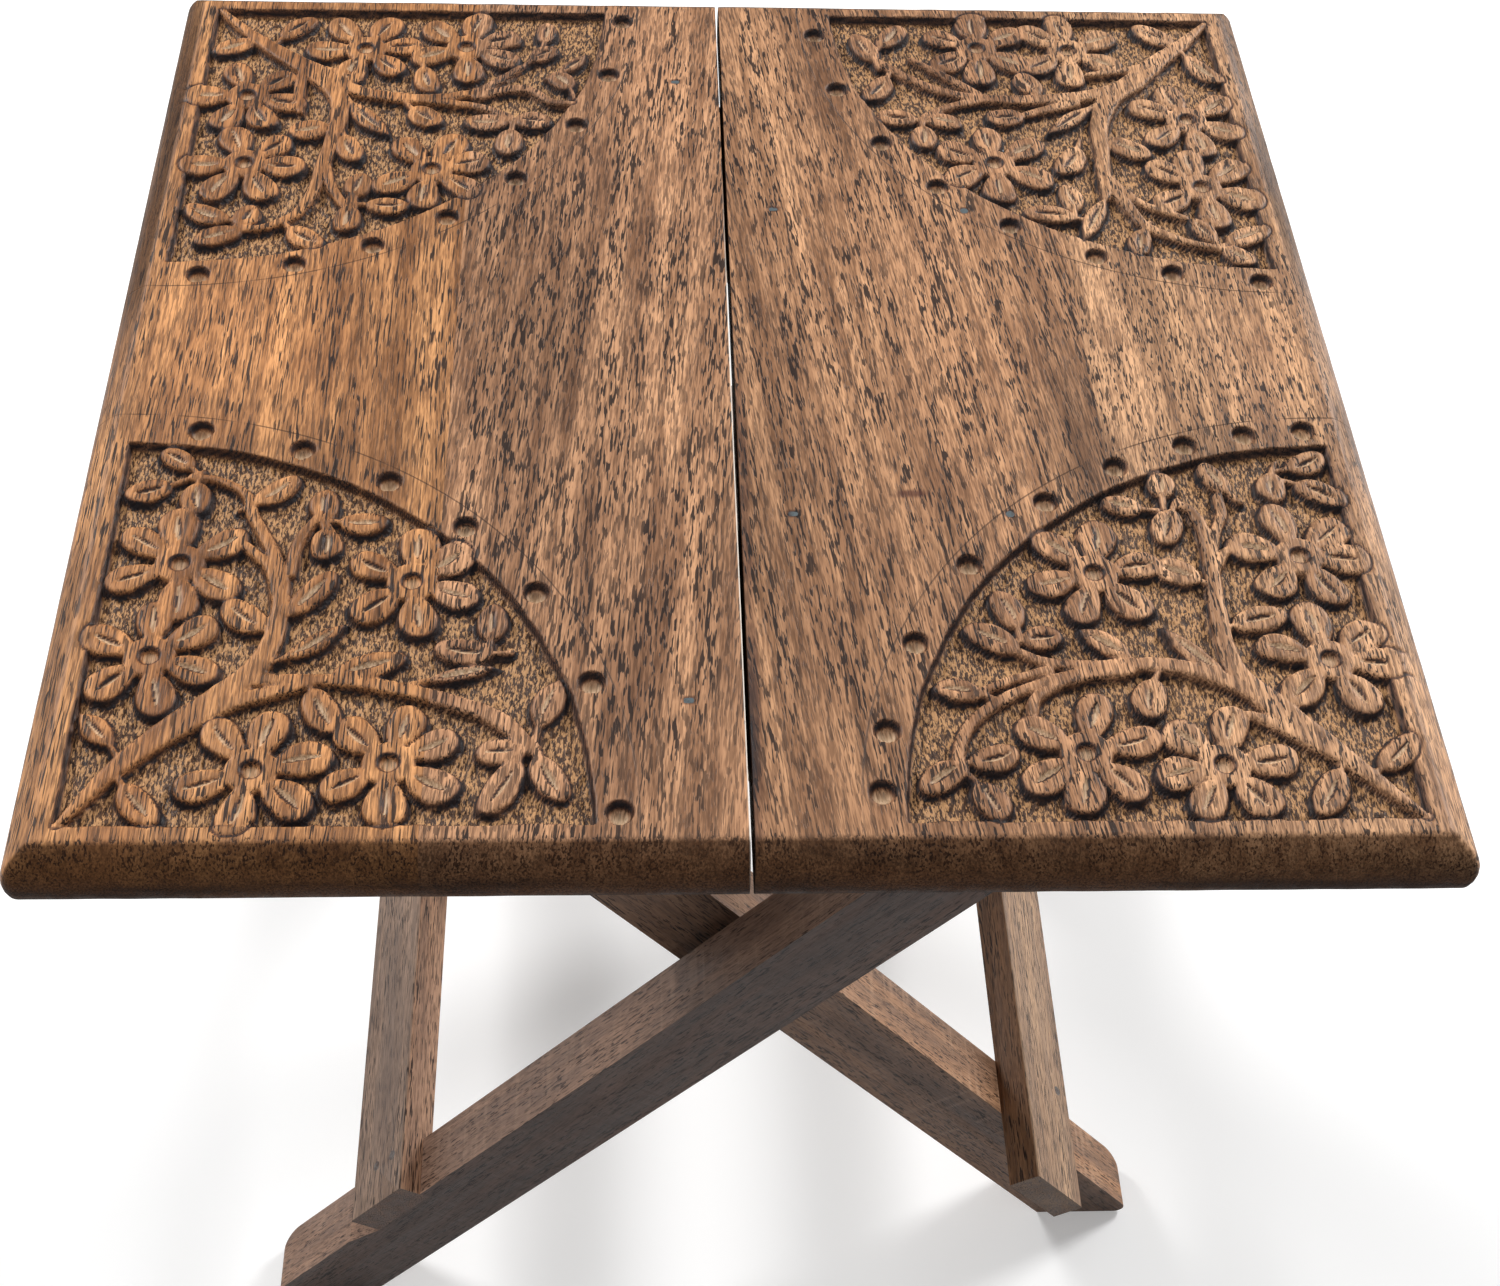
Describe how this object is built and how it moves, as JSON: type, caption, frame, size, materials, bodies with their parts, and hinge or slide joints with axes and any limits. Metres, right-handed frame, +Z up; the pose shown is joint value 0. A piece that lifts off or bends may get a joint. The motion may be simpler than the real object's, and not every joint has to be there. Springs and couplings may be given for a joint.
{
  "type": "folding wooden stand",
  "caption": "Folding stand with a carved square top in hinged leaves on crossed wooden legs; it folds flat when the seam is lifted.",
  "frame": {"origin": "on the floor under the middle of the top, with the stand open", "axes": "+Z up; +X to the right, across the seam; +Y to the back, along the seam and every hinge pin"},
  "size_m": [0.305, 0.305, 0.305],
  "materials": {
    "plank_golden": "waxed, open grain",
    "plank_brown": "waxed, open grain",
    "leg_wood": "dark stain, satin",
    "rail_wood": "brown stain, satin",
    "hinge_steel": "dull stamped steel",
    "screw_steel": "dull zinc",
    "nail_iron": "dark, dull",
    "bolt_steel": "dull zinc"
  },
  "bodies": {
    "outer_frame": {"back_head_washer": "bolt_steel", "back_pivot_bolt": "bolt_steel", "back_pivot_spacer": "bolt_steel", "back_right_rail_plate": "hinge_steel", "front_head_washer": "bolt_steel", "front_pivot_bolt": "bolt_steel", "front_pivot_spacer": "bolt_steel", "front_right_rail_plate": "hinge_steel", "left_foot_rail": "rail_wood", "left_rail_nails": "nail_iron", "outer_back_leg": "leg_wood", "outer_front_leg": "leg_wood", "outer_rail_screws": "screw_steel", "outer_top_rail": "rail_wood", "outer_top_rail_nails": "nail_iron"},
    "inner_frame": {"back_left_rail_plate": "hinge_steel", "front_left_rail_plate": "hinge_steel", "inner_back_leg": "leg_wood", "inner_front_leg": "leg_wood", "inner_rail_screws": "screw_steel", "inner_top_rail": "rail_wood", "inner_top_rail_nails": "nail_iron", "right_foot_rail": "rail_wood", "right_rail_nails": "nail_iron"},
    "left_leaf": {"back_left_leaf_plate": "hinge_steel", "back_left_pin": "hinge_steel", "back_seam_left_plate": "hinge_steel", "back_seam_pin": "hinge_steel", "front_left_leaf_plate": "hinge_steel", "front_left_pin": "hinge_steel", "front_seam_left_plate": "hinge_steel", "front_seam_pin": "hinge_steel", "left_inner_plank": "plank_brown", "left_leaf_screws": "screw_steel", "left_outer_plank": "plank_golden"},
    "right_leaf": {"back_right_leaf_plate": "hinge_steel", "back_right_pin_stubs": "hinge_steel", "back_seam_right_plate": "hinge_steel", "front_right_leaf_plate": "hinge_steel", "front_right_pin_stubs": "hinge_steel", "front_seam_right_plate": "hinge_steel", "right_inner_plank": "plank_brown", "right_leaf_screws": "screw_steel", "right_outer_plank": "plank_golden"}
  },
  "joints": [
    {"name": "frame_fold", "type": "hinge", "parent": "outer_frame", "child": "inner_frame", "pos_m": [0, 0, 0.163], "axis": [0, 1, 0], "range_deg": [0, 47.86]},
    {"name": "left_leaf_hinge", "type": "hinge", "parent": "inner_frame", "child": "left_leaf", "pos_m": [-0.089, 0, 0.2885], "axis": [0, -1, 0], "range_deg": [0, 93.93]},
    {"name": "seam_hinge", "type": "hinge", "parent": "left_leaf", "child": "right_leaf", "pos_m": [0, 0, 0.2885], "axis": [0, 1, 0], "range_deg": [0, 140]}
  ],
  "couplings": [
    {"joint": "left_leaf_hinge", "follows": "frame_fold", "ratio": 1.9625},
    {"joint": "seam_hinge", "follows": "frame_fold", "ratio": 2.925}
  ]
}
